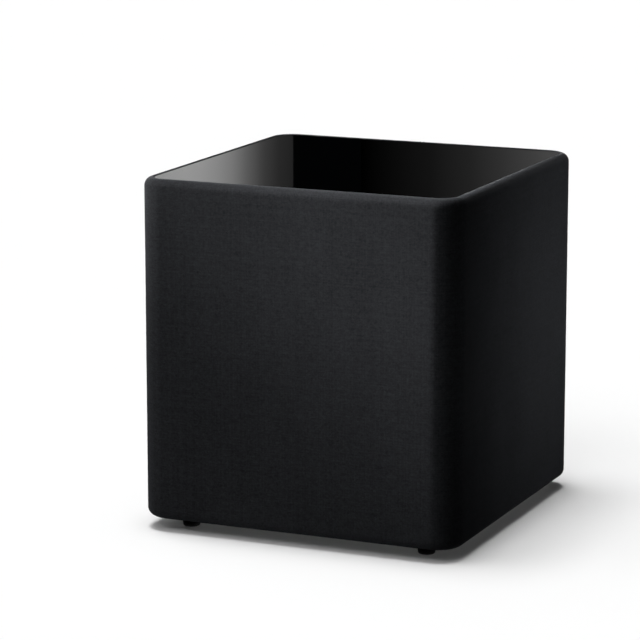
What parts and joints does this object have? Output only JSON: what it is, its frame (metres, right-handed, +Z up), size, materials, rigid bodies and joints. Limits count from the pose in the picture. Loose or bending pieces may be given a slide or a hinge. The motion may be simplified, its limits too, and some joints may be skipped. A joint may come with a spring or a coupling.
{
  "type": "subwoofer",
  "caption": "Near-cube active subwoofer wrapped in dark woven fabric with rounded vertical corners, gloss black inset top and short round feet; plays and powers deep bass.",
  "frame": {"origin": "centre of the footprint on the floor", "axes": "+X right as seen from the front, -Y out of the driver's front, +Y out of the amplifier panel, +Z up"},
  "size_m": [0.343, 0.3505, 0.361],
  "materials": {
    "acoustic_fabric": "matte",
    "gloss_acrylic": "gloss",
    "black_moulding": "satin",
    "board": "matte",
    "polyester_wadding": "matte",
    "foot_rubber": "matte",
    "zinc_steel": "satin",
    "black_steel": "satin",
    "cast_basket": "satin",
    "surround_rubber": "matte",
    "cone_paper": "matte",
    "former": "satin",
    "copper": "satin",
    "spider_cloth": "matte",
    "tinned_braid": "satin",
    "plated_steel": "satin",
    "ferrite": "matte",
    "lead_insulation": "satin",
    "foam": "matte",
    "circuit_board": "satin",
    "brass": "satin",
    "capacitor_sleeve": "gloss",
    "transformer": "satin",
    "bare_aluminium": "satin",
    "component_plastic": "satin",
    "lever_plastic": "satin",
    "gold_contact": "polished",
    "nickel_pin": "polished",
    "status_lens": "gloss",
    "tag_board": "satin"
  },
  "bodies": {
    "cabinet": {"fabric_sleeve": "acoustic_fabric", "top_gloss_panel": "gloss_acrylic", "top_trim_ring": "black_moulding", "bottom_trim_ring": "black_moulding", "bottom_cover": "black_moulding", "cabinet_top": "board", "cabinet_bottom": "board", "cabinet_left_side": "board", "cabinet_right_side": "board", "front_baffle": "board", "rear_panel": "board", "window_brace": "board", "wadding": "polyester_wadding", "grille_frame": "black_moulding", "foot_front_left": "foot_rubber", "foot_front_right": "foot_rubber", "foot_rear_left": "foot_rubber", "foot_rear_right": "foot_rubber", "foot_screws": "zinc_steel", "driver_basket": "cast_basket", "driver_gasket_ring": "foam", "driver_screws": "black_steel", "surround": "surround_rubber", "spider": "spider_cloth", "tinsel_leads": "tinned_braid", "driver_terminals": "tag_board", "motor_top_plate": "plated_steel", "magnet_rings": "ferrite", "motor_yoke": "plated_steel", "speaker_leads": "lead_insulation", "amp_plate": "black_steel", "amp_gasket": "foam", "amp_bezel": "black_moulding", "amp_tub": "component_plastic", "amp_screws": "black_steel", "main_board": "circuit_board", "board_standoffs": "brass", "filter_capacitors": "capacitor_sleeve", "power_transformer": "transformer", "heat_spreader": "bare_aluminium", "control_board": "circuit_board", "potentiometers": "zinc_steel", "slide_switch_bodies": "zinc_steel", "status_light": "status_lens", "line_input_block": "component_plastic", "line_input_contacts": "gold_contact", "speaker_level_socket": "component_plastic", "mains_inlet": "component_plastic", "inlet_pins": "nickel_pin", "rocker_housing": "component_plastic"},
    "cone_assembly": {"cone": "cone_paper", "dust_cap": "cone_paper", "voice_coil_former": "former", "voice_coil": "copper"},
    "volume_knob": {"volume_knob": "black_moulding"},
    "crossover_knob": {"crossover_knob": "black_moulding"},
    "phase_lever": {"phase_lever": "lever_plastic"},
    "placement_lever": {"placement_lever": "lever_plastic"},
    "power_mode_lever": {"power_mode_lever": "lever_plastic"},
    "power_rocker": {"power_rocker": "component_plastic"}
  },
  "joints": [
    {"name": "cone_slide", "type": "slide", "parent": "cabinet", "child": "cone_assembly", "axis": [0, -1, 0], "range_m": [-0.01, 0.01], "stiffness_N_per_m": 4000, "deforming": ["surround", "spider", "tinsel_leads"]},
    {"name": "volume_turn", "type": "hinge", "parent": "cabinet", "child": "volume_knob", "pos_m": [0.052, 0.1655, 0.2725], "axis": [0, 1, 0], "range_deg": [-150, 150]},
    {"name": "crossover_turn", "type": "hinge", "parent": "cabinet", "child": "crossover_knob", "pos_m": [-0.052, 0.1655, 0.2725], "axis": [0, 1, 0], "range_deg": [-150, 150]},
    {"name": "phase_switch", "type": "slide", "parent": "cabinet", "child": "phase_lever", "axis": [-1, 0, 0], "range_m": [0, 0.004]},
    {"name": "placement_switch", "type": "slide", "parent": "cabinet", "child": "placement_lever", "axis": [-1, 0, 0], "range_m": [-0.002, 0.002]},
    {"name": "power_mode_switch", "type": "slide", "parent": "cabinet", "child": "power_mode_lever", "axis": [-1, 0, 0], "range_m": [0, 0.004]},
    {"name": "power_rocker_tilt", "type": "hinge", "parent": "cabinet", "child": "power_rocker", "pos_m": [0.044, 0.164, 0.0945], "axis": [1, 0, 0], "range_deg": [0, 16]}
  ]
}
